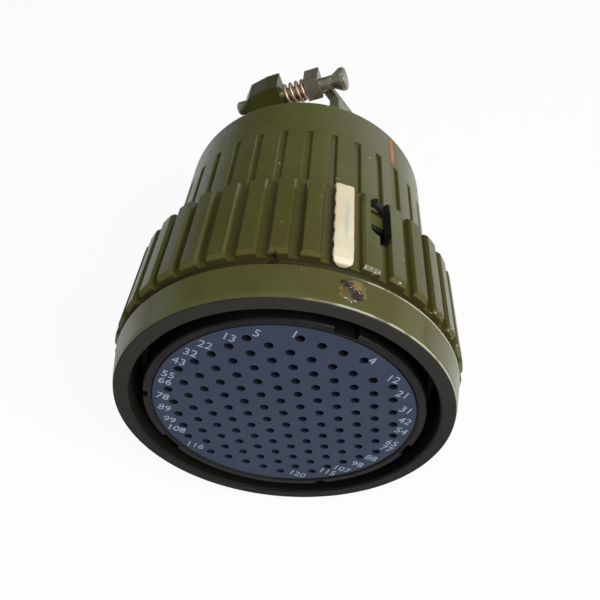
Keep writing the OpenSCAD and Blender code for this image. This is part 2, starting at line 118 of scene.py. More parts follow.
def mixColour(tree, factor, first, second):
    node = addNode(tree, "ShaderNodeMix", data_type="RGBA")
    colours = [s for s in node.inputs if s.type == "RGBA"]
    share = [s for s in node.inputs if s.type == "VALUE"][0]
    for socket, value in ((share, factor), (colours[0], first), (colours[1], second)):
        fill(tree, socket, value)
    return [s for s in node.outputs if s.type == "RGBA"][0]


def noise(tree, vector, scale, detail=3.0, roughness=0.5):
    node = addNode(tree, "ShaderNodeTexNoise")
    fillAll(tree, node, {"Vector": vector, "Scale": scale, "Detail": detail,
                         "Roughness": roughness})
    return node.outputs["Fac"]


def axisPlace(tree):
    # the place on the object in metres, then x, y, z and the distance from the axis in mm
    place = addNode(tree, "ShaderNodeTexCoord").outputs["Object"]
    scaled = addNode(tree, "ShaderNodeVectorMath", operation="SCALE")
    fill(tree, scaled.inputs[0], place)
    fill(tree, scaled.inputs["Scale"], 1 / mm)
    split = addNode(tree, "ShaderNodeSeparateXYZ")
    fill(tree, split.inputs[0], scaled.outputs[0])
    x, y, z = split.outputs
    square = mathNode(tree, "ADD", product(tree, x, x), product(tree, z, z))
    return types.SimpleNamespace(place=place, x=x, y=y, z=z, radius=mathNode(tree, "SQRT", square))


def acrossClock(tree, at, degrees):
    # distance sideways from the plane at a clock angle, from +Z towards +X
    turn = math.radians(degrees)
    return mathNode(tree, "SUBTRACT", product(tree, at.x, math.cos(turn)),
                    product(tree, at.z, math.sin(turn)))


def outwardClock(tree, at, degrees):
    # distance from the axis measured along a clock angle
    turn = math.radians(degrees)
    return mathNode(tree, "ADD", product(tree, at.x, math.sin(turn)),
                    product(tree, at.z, math.cos(turn)))


def addBump(tree, shader, height, strength, distance, bevel=0.0):
    bump = addNode(tree, "ShaderNodeBump")
    fillAll(tree, bump, {"Strength": strength, "Distance": distance, "Height": height})
    if bevel:
        rounder = addNode(tree, "ShaderNodeBevel", samples=6)
        rounder.inputs["Radius"].default_value = bevel
        tree.links.new(rounder.outputs[0], bump.inputs["Normal"])
    tree.links.new(bump.outputs[0], shader.inputs["Normal"])


# olive enamel; a pair in these settings is where a soft edge starts and ends, in mm
enamel = {"paint": (0.074, 0.071, 0.015), "lighter": (0.086, 0.095, 0.023),
          "cloudScale": 60, "clouds": (0.35, 0.72), "chip": (0.5, 0.48, 0.38),
          "chipScale": 820, "chipNoise": (0.745, 0.76), "chipShare": 0.8, "smudgeScale": 240,
          "peelScale": 900, "peelBump": 0.12, "peelDepth": 0.08,
          "roughness": 0.20, "roughSpread": 0.22, "coat": 0.42, "coatRoughness": 0.06,
          "dullSpecular": 0.12, "glossSpecular": 0.20, "plainSpecular": 0.4, "bevel": 0.22}
# on the sleeve: the band's recess with painted shade, painted highlight lines along the band's
# edges, a blot, the ribs' front ends with chips and painted glints, and dark places, some of them
# painted shade
bandShadeAndGlints = {"recess": ((4.9, 5.15), (6.8, 6.95)), "recessBrownAndShade": (0.036, 0.027, 0.014),
             "recessShare": 0.8, "frontEdge": (-0.32, -0.22), "frontRight": (2, 6),
             "rearEdge": ((4.55, 4.65), (5.06, 5.1)), "rearRight": (9, 13), "upperSide": (0, 12),
             "glintScale": 260, "glintNoise": (0.38, 0.6), "glintLeast": 0.25, "glintMost": 0.8,
             "glintColour": (0.47, 0.48, 0.36)}
recessBlot = {"x": -1.5, "y": 6.0, "edge": (1.5, 1.9), "raggedScale": 1400, "ragged": 1.6,
              "top": (20, 22), "colour": (0.012, 0.008, 0.004)}
ribFront = {"chips": ((6.7, 6.9), (7.2, 7.7)), "outer": (28.9, 29.4), "right": (9, 15),
            "beadScale": 1500, "beadNoise": (0.61, 0.64), "chipsElsewhere": 0.35,
            "dull": ((6.7, 6.8), (7.7, 8.0)), "dullShare": 0.85}
sleeveDark = {"rimFace": (-0.62, -0.5), "bore": (27.6, 27.9), "low": (0.004, 0.004, 0.0035),
              "high": (0.022, 0.021, 0.017), "height": (-26, 26), "roughness": 0.2}
window = {"clock": 32.1, "middle": -1.9, "halfWidth": (1.93, 1.97), "front": (14.9, 14.98),
          "outward": (20, 22), "skin": (29.95, 30.1)}
# painted shade on the rear shell's flange and on the spring seat nut, both seen through the window
flange = {"clock": 28.5, "y": ((25.3, 25.5), (27.2, 27.4)), "halfWidth": (2.1, 2.5),
          "right": (0, 2), "share": 0.9, "colour": (0.012, 0.011, 0.008)}
nutEnds = {"rear": (23.0, 23.3), "front": (20.1, 20.6), "share": 0.93,
           "colour": (0.008, 0.008, 0.006), "specular": 0.15}


def paintBand(tree, at, colour):
    # brown tint in the recess, darkened further as painted shade where the recess lies in shadow
    inRecess = product(tree, within(tree, at.y, *bandShadeAndGlints["recess"]), bandShadeAndGlints["recessShare"])
    colour = mixColour(tree, inRecess, colour, bandShadeAndGlints["recessBrownAndShade"])
    # painted highlight: bright lines along both edges of the band, on its right and upper side
    # only, standing in for glints of light on the edges
    front = product(tree, stepDown(tree, at.y, *bandShadeAndGlints["frontEdge"]),
                    stepUp(tree, at.x, *bandShadeAndGlints["frontRight"]))
    rear = product(tree, within(tree, at.y, *bandShadeAndGlints["rearEdge"]),
                   stepUp(tree, at.x, *bandShadeAndGlints["rearRight"]))
    patchy = noise(tree, at.place, bandShadeAndGlints["glintScale"], 3, 0.6)
    patchy = mathNode(tree, "ADD", stepUp(tree, patchy, *bandShadeAndGlints["glintNoise"]),
                      bandShadeAndGlints["glintLeast"])
    glintLines = product(tree, mathNode(tree, "MAXIMUM", front, rear), patchy)
    glintLines = product(tree, mathNode(tree, "MINIMUM", glintLines, bandShadeAndGlints["glintMost"]),
                   stepUp(tree, at.z, *bandShadeAndGlints["upperSide"]))
    colour = mixColour(tree, glintLines, colour, bandShadeAndGlints["glintColour"])
    # a small dark blot in the recess near the top
    dx = mathNode(tree, "SUBTRACT", at.x, recessBlot["x"])
    dy = mathNode(tree, "SUBTRACT", at.y, recessBlot["y"])
    away = mathNode(tree, "ADD", product(tree, dx, dx), product(tree, dy, dy))
    ragged = product(tree, noise(tree, at.place, recessBlot["raggedScale"], 2),
                     recessBlot["ragged"])
    away = mathNode(tree, "ADD", mathNode(tree, "SQRT", away), ragged)
    blot = product(tree, stepUp(tree, at.z, *recessBlot["top"]),
                   stepDown(tree, away, *recessBlot["edge"]))
    return mixColour(tree, blot, colour, recessBlot["colour"])


def ribFrontChips(tree, at):
    # beads of bright metal along the ribs' front ends, on the right side only: partly wear, partly
    # painted highlight standing in for glints on the chamfer
    nearFront = product(tree, within(tree, at.y, *ribFront["chips"]),
                        stepUp(tree, at.radius, *ribFront["outer"]),
                        stepUp(tree, at.x, *ribFront["right"]))
    beads = noise(tree, at.place, ribFront["beadScale"], 2, 0.7)
    return product(tree, stepUp(tree, beads, *ribFront["beadNoise"]), nearFront)


def darkOnSleeve(tree, at):
    # the rim's face and the bore behind it are left dark
    dark = mathNode(tree, "MAXIMUM", stepDown(tree, at.y, *sleeveDark["rimFace"]),
                    stepDown(tree, at.radius, *sleeveDark["bore"]))
    # the cut walls of the viewing window and a strip left of its straight side are made dark too,
    # as painted shade for the shadow in them
    sideways = mathNode(tree, "SUBTRACT", acrossClock(tree, at, window["clock"]),
                        window["middle"])
    outward = outwardClock(tree, at, window["clock"])
    shadedWalls = product(tree, stepDown(tree, mathNode(tree, "ABSOLUTE", sideways),
                                   *window["halfWidth"]),
                    stepUp(tree, at.y, *window["front"]), stepUp(tree, outward, *window["outward"]),
                    stepDown(tree, at.radius, *window["skin"]))
    return mathNode(tree, "MAXIMUM", dark, shadedWalls)


def flangeGrime(tree, at):
    # painted shade: dark on the rear shell's flange where the window's rear end shades it at rest
    sideways = mathNode(tree, "ABSOLUTE", acrossClock(tree, at, flange["clock"]))
    return product(tree, within(tree, at.y, *flange["y"]),
                   stepDown(tree, sideways, *flange["halfWidth"]),
                   stepUp(tree, at.x, *flange["right"]), flange["share"])


def nutGrime(tree, at):
    # painted shade: dark at both ends of the nut, where deep shade falls round it
    ends = mathNode(tree, "MAXIMUM", stepUp(tree, at.y, *nutEnds["rear"]),
                    stepDown(tree, at.y, *nutEnds["front"]))
    return product(tree, ends, nutEnds["share"])


def oliveEnamel(name, tint=1.0, chips=True, part=""):
    material, tree, shader = newMaterial(name)
    at = axisPlace(tree)
    cloud = stepUp(tree, noise(tree, at.place, enamel["cloudScale"], 4, 0.55), *enamel["clouds"])
    colour = mixColour(tree, cloud, [c * tint for c in enamel["paint"]],
                       [c * tint for c in enamel["lighter"]])
    if part == "sleeve":
        colour = paintBand(tree, at, colour)
    if chips:
        chipped = noise(tree, at.place, enamel["chipScale"], 2, 0.6)
        chipped = stepUp(tree, chipped, *enamel["chipNoise"])
        if part == "sleeve":
            # on the sleeve, the general chips thinned, plus bright chips on the ribs' front ends
            # that are partly painted highlight
            chipped = mathNode(tree, "MAXIMUM",
                               product(tree, chipped, ribFront["chipsElsewhere"]),
                               ribFrontChips(tree, at))
        colour = mixColour(tree, product(tree, chipped, enamel["chipShare"]), colour,
                           enamel["chip"])
    smudges = noise(tree, at.place, enamel["smudgeScale"], 3)
    rough = mathNode(tree, "ADD", product(tree, smudges, enamel["roughSpread"]),
                     enamel["roughness"])
    glossy = None
    if part == "sleeve":
        dark = darkOnSleeve(tree, at)
        # the dark rim and bore grade from darker at the bottom to lighter at the top: painted shade
        darkWithPaintedShade = mixColour(tree, stepUp(tree, at.z, *sleeveDark["height"]), sleeveDark["low"],
                          sleeveDark["high"])
        colour = mixColour(tree, dark, colour, darkWithPaintedShade)
        rough = mathNode(tree, "ADD", rough, product(tree, dark, sleeveDark["roughness"]))
        # the ribs' front faces are rubbed dull
        rubbed = product(tree, within(tree, at.y, *ribFront["dull"]), ribFront["dullShare"])
        glossy = mathNode(tree, "SUBTRACT", mathNode(tree, "SUBTRACT", 1.0, dark), rubbed)
    elif part == "shell":
        colour = mixColour(tree, flangeGrime(tree, at), colour, flange["colour"])
        glossy = stepUp(tree, at.y, *flange["y"][1])
    elif part == "nut":
        colour = mixColour(tree, nutGrime(tree, at), colour, nutEnds["colour"])
    fillAll(tree, shader, {"Base Color": colour, "Roughness": rough,
                           "Coat Roughness": enamel["coatRoughness"]})
    if glossy is not None:
        specular = mathNode(tree, "ADD", product(tree, glossy, enamel["glossSpecular"]),
                            enamel["dullSpecular"])
        fillAll(tree, shader, {"Coat Weight": product(tree, glossy, enamel["coat"]),
                               "Specular IOR Level": specular})
    elif part == "nut":
        fillAll(tree, shader, {"Specular IOR Level": nutEnds["specular"]})
    else:
        fillAll(tree, shader, {"Coat Weight": enamel["coat"],
                               "Specular IOR Level": enamel["plainSpecular"]})
    peel = noise(tree, at.place, enamel["peelScale"], 2, 0.6)
    addBump(tree, shader, peel, enamel["peelBump"], enamel["peelDepth"] * mm,
            bevel=enamel["bevel"] * mm)
    return material


# painted shade: how a finish is dimmed down in the cavities, in mm
cavityShade = {"fade": (0.15, 1), "share": 0.85, "colour": (0.004, 0.005, 0.008)}


def plainFinish(name, colour, roughness, metallic=0.0, second=None, grain=700, bump=0.1,
                coat=0.0, bevel=0.0, specular=0.5, dimFrom=None):
    material, tree, shader = newMaterial(name)
    at = axisPlace(tree)
    cloud = stepUp(tree, noise(tree, at.place, grain * 0.25, 4, 0.6), 0.3, 0.75)
    mixed = mixColour(tree, cloud, colour, second or [c * 0.7 for c in colour])
    if dimFrom:
        # painted shade, dimmed between two distances along the axis, down in the cavities
        front, rear = dimFrom
        inside = within(tree, at.y, (front, front + cavityShade["fade"][0]),
                        (rear, rear + cavityShade["fade"][1]))
        mixed = mixColour(tree, product(tree, inside, cavityShade["share"]), mixed, cavityShade["colour"])
    rough = mathNode(tree, "ADD", roughness - 0.07,
                     product(tree, noise(tree, at.place, grain * 0.6, 3), 0.14))
    fillAll(tree, shader, {"Base Color": mixed, "Roughness": rough, "Metallic": metallic,
                           "Coat Weight": coat, "Specular IOR Level": specular})
    addBump(tree, shader, noise(tree, at.place, grain * 2, 2), bump, 0.05 * mm, bevel)
    return material


# cream paint with a faint bluish streak along its middle and a yellowish right edge
cream = {"dark": (0.66, 0.56, 0.37), "light": (0.71, 0.65, 0.49), "streak": (0.36, 0.45, 0.46),
         "streakClock": 17.3, "streakEdge": (0.1, 0.9), "streakBend": 3.0, "streakShare": 0.55,
         "streakLength": ((10, 14), (19, 22.5)), "edge": (0.66, 0.45, 0.20),
         "edgeClock": (18.6, 19.6), "edgeShare": 0.5, "roughness": 0.45, "specular": 0.35}


def creamFinish():
    material, tree, shader = newMaterial("creamPaint")
    at = axisPlace(tree)
    cloud = stepUp(tree, noise(tree, at.place, 220, 4, 0.6), 0.3, 0.75)
    colour = mixColour(tree, cloud, cream["dark"], cream["light"])
    clock = product(tree, mathNode(tree, "ARCTAN2", at.x, at.z), 180 / math.pi)
    bend = mathNode(tree, "SUBTRACT", noise(tree, at.place, 130, 2), 0.5)
    away = mathNode(tree, "ADD", mathNode(tree, "SUBTRACT", clock, cream["streakClock"]),
                    product(tree, bend, cream["streakBend"]))
    streak = product(tree, stepDown(tree, mathNode(tree, "ABSOLUTE", away),
                                    *cream["streakEdge"]),
                     within(tree, at.y, *cream["streakLength"]), cream["streakShare"])
    colour = mixColour(tree, streak, colour, cream["streak"])
    right = product(tree, stepUp(tree, clock, *cream["edgeClock"]), cream["edgeShare"])
    fillAll(tree, shader, {"Base Color": mixColour(tree, right, colour, cream["edge"]),
                           "Roughness": cream["roughness"],
                           "Specular IOR Level": cream["specular"]})
    addBump(tree, shader, noise(tree, at.place, 500, 3), 0.25, 0.08 * mm)
    return material


# lacquer with dark burnt streaks across the blob, amber varnish round them, and small bright specks
# in the dark streaks as painted highlights
varnish = {"amber": (0.095, 0.072, 0.014), "lightAmber": (0.18, 0.13, 0.028),
           "burnt": (0.020, 0.011, 0.005), "glintSpeck": (0.62, 0.45, 0.34), "clock": 19.4, "y": 2.5,
           "radius": 29, "ragged": 5.0, "burntEdge": (0.7, 1.15)}


def lacquerFinish():
    material, tree, shader = newMaterial("amberLacquer")
    at = axisPlace(tree)
    clock = mathNode(tree, "ARCTAN2", at.x, at.z)
    aside = product(tree, mathNode(tree, "SUBTRACT", clock, math.radians(varnish["clock"])),
                    varnish["radius"])
    across = mathNode(tree, "ADD", aside, mathNode(tree, "SUBTRACT", at.y, varnish["y"]))
    ragged = product(tree, mathNode(tree, "SUBTRACT", noise(tree, at.place, 900, 3, 0.7), 0.5),
                     varnish["ragged"])
    across = mathNode(tree, "ABSOLUTE", mathNode(tree, "ADD", across, ragged))
    core = stepDown(tree, across, *varnish["burntEdge"])
    amber = mixColour(tree, stepUp(tree, noise(tree, at.place, 500, 3), 0.4, 0.65),
                      varnish["amber"], varnish["lightAmber"])
    colour = mixColour(tree, core, amber, varnish["burnt"])
    # painted highlight: small bright specks in the dark core, standing in for glints
    paintedGlints = stepUp(tree, noise(tree, at.place, 1700, 2), 0.64, 0.69)
    colour = mixColour(tree, product(tree, paintedGlints, core), colour, varnish["glintSpeck"])
    fillAll(tree, shader, {"Base Color": colour, "Roughness": 0.12, "Coat Weight": 1.0,
                           "Coat Roughness": 0.02})
    addBump(tree, shader, noise(tree, at.place, 900, 2, 0.5), 0.8, 0.3 * mm)
    return material


finishes = {
    "creamPaint": creamFinish(),
    "amberLacquer": lacquerFinish(),
    "oliveSleeve": oliveEnamel("oliveSleeve", tint=0.94, part="sleeve"),
    "oliveShell": oliveEnamel("oliveShell", part="shell"),
    "oliveInner": oliveEnamel("oliveInner", chips=False, part="nut"),
    "oliveClamp": oliveEnamel("oliveClamp", tint=0.6),
    "darkBarrel": plainFinish("darkBarrel", (0.008, 0.0078, 0.008), 0.45,
                              second=(0.004, 0.004, 0.004), bevel=0.1 * mm, specular=0.14),
    "blueInsert": plainFinish("blueInsert", (0.022, 0.034, 0.066), 0.6,
                              second=(0.026, 0.039, 0.074), bump=0.15, specular=0.25,
                              dimFrom=(0.03, 8.0)),
    "brownInsert": plainFinish("brownInsert", (0.10, 0.055, 0.03), 0.6),
    "redRubber": plainFinish("redRubber", (0.27, 0.06, 0.035), 0.65),
    "goldContact": plainFinish("goldContact", (0.65, 0.45, 0.16), 0.3, metallic=1.0,
                               dimFrom=(0.5, 12.0)),
    "springSteel": plainFinish("springSteel", (0.45, 0.45, 0.44), 0.3, metallic=1.0),
    "blackRubber": plainFinish("blackRubber", (0.018, 0.018, 0.018), 0.6),
    "wornOlive": plainFinish("wornOlive", (0.15, 0.15, 0.08), 0.24, second=(0.46, 0.45, 0.36),
                             metallic=0.55, coat=0.5, bevel=0.18 * mm),
    "brassScrew": plainFinish("brassScrew", (0.32, 0.2, 0.06), 0.35, metallic=1.0),
    "copperWire": plainFinish("copperWire", (0.44, 0.27, 0.20), 0.4, second=(0.58, 0.47, 0.30),
                              metallic=0.8),
    "orangePaint": plainFinish("orangePaint", (0.50, 0.14, 0.05), 0.5,
                               second=(0.30, 0.13, 0.05)),
    "whiteInk": plainFinish("whiteInk", (0.30, 0.35, 0.44), 0.6, second=(0.22, 0.27, 0.35),
                            grain=900),
}

nodeFinish = {
    "coupling_sleeve": "oliveSleeve", "rear_shell": "oliveShell",
    "spring_seat_nut": "oliveInner", "clamp_body": "oliveClamp", "plug_barrel": "darkBarrel",
    "front_insert": "blueInsert", "rear_insert": "brownInsert", "wire_grommet": "redRubber",
    "socket_contacts": "goldContact", "insert_retainer": "springSteel",
    "shell_seal": "blackRubber", "thrust_ring": "springSteel", "coupling_spring": "springSteel",
    "stop_pins": "springSteel", "band_screw": "brassScrew", "shell_o_ring": "blackRubber",
    "clamp_nut": "springSteel", "moving_saddle": "wornOlive", "clamp_screws": "wornOlive",
    "saddle_springs": "copperWire"}
for nodeName, finishName in nodeFinish.items():
    mesh = nodes[nodeName].data
    mesh.materials.clear()
    mesh.materials.append(finishes[finishName])
print("finishes done")


def addObject(name, data):
    thing = bpy.data.objects.new(name, data)
    bpy.context.collection.objects.link(thing)
    return thing


def makePiece(name, points, faces, finish, body=None, smooth=True):
    mesh = bpy.data.meshes.new(name)
    mesh.from_pydata(points.tolist(), [], faces)
    mesh.update()
    mesh.polygons.foreach_set("use_smooth", np.full(len(mesh.polygons), smooth))
    piece = addObject(name, mesh)
    mesh.materials.append(finishes[finish])
    if body:
        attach(piece, body)
    return piece


def gridFaces(rows, columns, wrapColumns=False, offset=0):
    # quads between neighbouring grid points, row by row
    i = np.arange(rows - 1)
    j = np.arange(columns if wrapColumns else columns - 1)
    a, b = np.meshgrid(i, j, indexing="ij")
    a2, b2 = a + 1, (b + 1) % columns
    quads = np.stack([a * columns + b, a * columns + b2, a2 * columns + b2, a2 * columns + b], -1)
    return quads.reshape(-1, 4) + offset


def slab(outer, inner):
    # closes two grids of the same size into one solid: outer, inner turned round, and the rim
    rows, columns = outer.shape[:2]
    count = rows * columns
    index = np.arange(count).reshape(rows, columns)
    edge = np.concatenate([index[0, :], index[1:, -1], index[-1, -2::-1], index[-2:0:-1, 0]])
    after = np.roll(edge, -1)
    rim = np.stack([edge, after, after + count, edge + count], -1)
    faces = np.concatenate([gridFaces(rows, columns)[:, ::-1],
                            gridFaces(rows, columns, offset=count), rim])
    return np.concatenate([outer.reshape(-1, 3), inner.reshape(-1, 3)]), faces.tolist()


def aroundAxis(clock, y, radius):
    # (radius sin clock, y, radius cos clock), the clock in degrees from +Z towards +X
    angle = np.radians(clock)
    return np.stack([radius * np.sin(angle), y, radius * np.cos(angle)], -1)


def wavy(values, seed):
    # a smooth random curve: a sum of six sines with random phases, about one high
    rng = np.random.default_rng(seed)
    total = np.zeros_like(values)
    for k in range(6):
        total = total + np.sin(values * (1 + k * 1.7) + rng.uniform(0, 2 * np.pi)) / (k + 1)
    return total / 1.6


# cream paint mark on the sleeve, in mm and degrees
# the paint runs over the ribs' front chamfer: path length, y, radius and normal at five points
mark = {"clock": 16.6, "halfWidth": 3.15, "thick": 0.12, "under": 0.12, "round": 2.0,
        "ragged": 0.22, "rightRagged": 0.35, "rearRagged": 0.10,
        "length": (0.0, 0.75, 1.5, 3.4, 19.2), "y": (6.70, 6.72, 7.24, 9.10, 24.95),
        "radius": (28.75, 29.50, 30.06, 30.17, 30.15), "back": (1.0, 0.85, 0.36, 0.0, 0.0),
        "up": (0.0, 0.5, 0.93, 1.0, 1.0)}
land = {"clock": 2.9, "pitch": 9, "halfGroove": 1.55, "slope": 0.5, "drop": 1.3}


def landDrop(clock):
    # how far the paint sinks past the land's edges into the grooves, which it partly bridges
    half = land["pitch"] / 2
    away = np.abs((clock - land["clock"] + half) % land["pitch"] - half)
    return land["drop"] * np.clip((land["halfGroove"] - away) / land["slope"], 0, 1)


# a grid of distance along the path by place across it, from -1 at the left edge to 1 at the right
along = np.concatenate([np.linspace(0, 2.4, 34), np.linspace(2.6, 19.2, 90)])[:, None]
across = np.linspace(-1, 1, 33)[None, :]
onPath = {key: np.interp(along, mark["length"], mark[key]) for key in ("y", "radius", "back", "up")}
endRound = np.sqrt(np.clip(1 - (1 - np.clip(along / mark["round"], 0, 1)) ** 2, 0.01, 1))
ragged = mark["ragged"] * np.clip((along - 1.2) / 1.2, 0, 1)
leftEdge = -mark["halfWidth"] * endRound + ragged * wavy(along * 1.9, 3)
rightEdge = mark["halfWidth"] * endRound + mark["rightRagged"] * ragged * wavy(along * 0.8, 8)
clock = mark["clock"] + leftEdge + (rightEdge - leftEdge) * (across + 1) / 2
edgeDrop = landDrop(clock) * onPath["up"]
# the swell is the thickness times the crown across, (1 - across^4)^0.5, times the rise along
# the first 0.5 mm, (along / 0.5)^0.5
swell = mark["thick"] * np.sqrt(np.clip(1 - across ** 4, 0, 1)) \
    * np.sqrt(np.clip(along / 0.5, 0, 1)) + 0.01
rearEnd = mark["rearRagged"] * (along > 19) * wavy(across * 3, 5)
y = (onPath["y"] - onPath["back"] * swell + rearEnd) * mm
outer = aroundAxis(clock, y, (onPath["radius"] - edgeDrop + onPath["up"] * swell) * mm)
inner = aroundAxis(clock, (onPath["y"] + onPath["back"] * mark["under"]) * mm + 0 * clock,
                   (onPath["radius"] - edgeDrop - onPath["up"] * mark["under"]) * mm)
points, faces = slab(outer, inner)
makePiece("creamMark", points, faces, "creamPaint", "sleeve")


# orange line on the smooth end of the rear shell: straight along the axis, wavy at both sides
line = {"clock": 44.0, "halfWidth": 1.25, "front": 47.6, "rear": 56.3, "radius": 26.05,
        "thick": 0.03, "lift": 0.005, "under": 0.08}
along = np.linspace(0, 1, 40)[:, None]
across = np.linspace(-1, 1, 9)[None, :]
width = line["halfWidth"] * (0.85 + 0.2 * wavy(along * 14, 12))
clock = line["clock"] + width * across + 0.1 * wavy(along * 6, 4)
y = (line["front"] + (line["rear"] - line["front"]) * along + 0.15 * wavy(across * 4, 2)) * mm
swell = line["thick"] * np.clip(1 - across ** 4, 0, 1) + line["lift"]
points, faces = slab(aroundAxis(clock, y, (line["radius"] + swell + 0 * clock) * mm),
                     aroundAxis(clock, y, (line["radius"] - line["under"]) * mm + 0 * clock))
makePiece("orangeLine", points, faces, "orangePaint", "plug")
print("paint marks done")


# numerals printed on the insert at the ends of the contact rows
numerals = {"size": 2.3, "lift": 0.015, "ring": 20.3, "keyClock": 23.9, "pitch": 3.5,
            "firstRise": 0.6, "middleRow": 6,
            "rows": (4, 8, 9, 10, 11, 12, 11, 12, 11, 10, 9, 8, 5),
            "above": (0.5, 1.7, 1.95, 1.6, 1.8, 1.95, 0.85, 1.9, 0.7, 0.55, 0.55, 1.3, 0.65)}
turn = math.radians(numerals["keyClock"])
acrossInsert = Vector((math.cos(turn), 0, -math.sin(turn)))
upInsert = Vector((math.sin(turn), 0, math.cos(turn)))


def addNumeral(word, u, v):
    curve = bpy.data.curves.new("numeral" + word, "FONT")
    curve.body = word
    curve.size = numerals["size"] * mm
    curve.align_x = "CENTER"
    curve.align_y = "CENTER"
    curve.extrude = numerals["lift"] * mm
    curve.resolution_u = 3
    thing = addObject("numeral" + word, curve)
    place = (acrossInsert * u + upInsert * v) * mm
    basis = Matrix((acrossInsert, upInsert, Vector((0, -1, 0)))).transposed()
    thing.matrix_world = Matrix.Translation(place) @ basis.to_4x4()
    return thing


made = []
first = 1
for row, count in enumerate(numerals["rows"]):
    v = (numerals["middleRow"] - row) * numerals["pitch"] * math.sin(math.pi / 3) \
        + numerals["above"][row]
    v += numerals["firstRise"] if row == 0 else 0
    u = math.sqrt(numerals["ring"] ** 2 - v * v)
    made.append(addNumeral(str(first), -u, v))
    made.append(addNumeral(str(first + count - 1), u, v))
    first += count
bpy.context.view_layer.update()
depsgraph = bpy.context.evaluated_depsgraph_get()
allPoints, allFaces = [], []
for thing in made:
    mesh = thing.evaluated_get(depsgraph).to_mesh()
    mesh.transform(thing.matrix_world)
    start = len(allPoints)
    allPoints.extend(tuple(p.co) for p in mesh.vertices)
    allFaces.extend([start + i for i in f.vertices] for f in mesh.polygons)
    thing.evaluated_get(depsgraph).to_mesh_clear()
for thing in made:
    bpy.data.objects.remove(thing)
makePiece("insertNumerals", np.array(allPoints), allFaces, "whiteInk", "plug",
          smooth=False)
print("numerals done")


def helixTube(radius, wire, turns, length, deadTurns, perTurn=40, startAngle=0.0, offset=0):
    # a round wire carried round a helix: the centre is (radius cos a, radius sin a, height), and
    # the ring round it is half the wire times (cos b outward + sin b sideways)
    # the height rises by about one wire a turn at both closed ends, and evenly between them
    sides = 14
    count = int(turns * perTurn) + 1
    turn = np.linspace(0, turns, count)
    rise = np.clip((turn - deadTurns) / (turns - 2 * deadTurns), 0, 1)
    flat = wire * 0.98
    total = length - wire - 2 * deadTurns * flat
    z = wire / 2 + np.minimum(turn, deadTurns) * flat + rise * total \
        + np.clip(turn - (turns - deadTurns), 0, None) * flat
    angle = 2 * np.pi * turn + startAngle
    centre = np.stack([radius * np.cos(angle), radius * np.sin(angle), z], -1)
    out = np.stack([np.cos(angle), np.sin(angle), 0 * angle], -1)
    tangent = np.gradient(centre, axis=0)
    tangent /= np.linalg.norm(tangent, axis=1, keepdims=True)
    side = np.cross(tangent, out)
    around = np.linspace(0, 2 * np.pi, sides, endpoint=False)[None, :, None]
    ring = centre[:, None, :] + wire / 2 * (np.cos(around) * out[:, None, :]
                                            + np.sin(around) * side[:, None, :])
    tube = gridFaces(count, sides, wrapColumns=True, offset=offset)[:, ::-1]
    # a fan of triangles closes each end
    k = np.arange(sides)
    after = (k + 1) % sides
    hub, lastRing = count * sides, (count - 1) * sides
    fans = np.concatenate([np.stack([0 * k + hub, after, k], -1),
                           np.stack([0 * k + hub + 1, k + lastRing, after + lastRing], -1)])
    points = np.concatenate([ring.reshape(-1, 3), centre[:1], centre[-1:]])
    return points, tube.tolist() + (fans + offset).tolist()


coupling = {"radius": 24.85, "wire": 1.1, "turns": 3, "front": 15.45, "rear": 22.5}
coil, faces = helixTube(coupling["radius"] * mm, coupling["wire"] * mm, coupling["turns"],
                        (coupling["rear"] - coupling["front"]) * mm, deadTurns=0.3, perTurn=96)
turned = np.stack([coil[:, 0], coil[:, 2] + coupling["front"] * mm, -coil[:, 1]], -1)
couplingCoil = makePiece("couplingCoil", turned, faces, "springSteel", "plug")
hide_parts("coupling_spring")
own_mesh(couplingCoil)

# the two saddle springs in one mesh: they stretch between the fixed ears and the moving ears
saddle = {"roll": 19, "radius": 2.1, "wire": 0.8, "turns": 4, "from": 1.0, "to": 6.6,
          "offset": 20.5, "y": 71.75, "deadTurns": 0.5, "startAngle": 0.9}
roll = math.radians(saddle["roll"])
alongScrew = np.array([math.cos(roll), 0, math.sin(roll)])
acrossScrews = np.array([math.sin(roll), 0, -math.cos(roll)])
alongAxis = np.array([0, 1.0, 0])
coilPoints, coilFaces = [], []
for side in (-1, 1):
    coil, faces = helixTube(saddle["radius"] * mm, saddle["wire"] * mm, saddle["turns"],
                            (saddle["to"] - saddle["from"]) * mm, saddle["deadTurns"],
                            startAngle=side * saddle["startAngle"],
                            offset=sum(len(part) for part in coilPoints))
    centre = saddle["from"] * alongScrew + side * saddle["offset"] * acrossScrews \
        + saddle["y"] * alongAxis
    coilPoints.append(centre * mm + coil[:, 2:3] * alongScrew + coil[:, :1] * acrossScrews
                      + coil[:, 1:2] * alongAxis)
    coilFaces += faces
saddleCoils = makePiece("saddleCoils", np.concatenate(coilPoints), coilFaces, "copperWire")
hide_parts("saddle_springs")
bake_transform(saddleCoils)
print("springs done")


# lacquer over the band screw: a lumpy clear blob on the band's cone, in mm and degrees
lacquer = {"clock": 19.9, "y": 2.4, "acrossDegrees": 4.6, "alongMm": 2.2, "rise": 0.32,
           "lift": 0.004, "under": 0.15, "ragged": 0.16, "squeeze": 0.9, "alongLimits": (-2.5, 2.3)}
cone = {"y": (0.2, 4.85), "radius": (28.55, 29.4)}
u = np.linspace(0, 1, 26)[:, None]
v = np.linspace(0, 2 * np.pi, 73)[None, :]
reach = 1 + lacquer["ragged"] * wavy(2 * v, 21)
reach = reach + (reach[:, :1] - reach[:, -1:]) * v / (2 * np.pi)
clock = lacquer["clock"] + lacquer["acrossDegrees"] * u * reach * np.sin(v) * lacquer["squeeze"]
along = lacquer["y"] + np.clip(lacquer["alongMm"] * u * reach * np.cos(v), *lacquer["alongLimits"])
bandRadius = cone["radius"][0] + (cone["radius"][1] - cone["radius"][0]) \
    * (along - cone["y"][0]) / (cone["y"][1] - cone["y"][0])
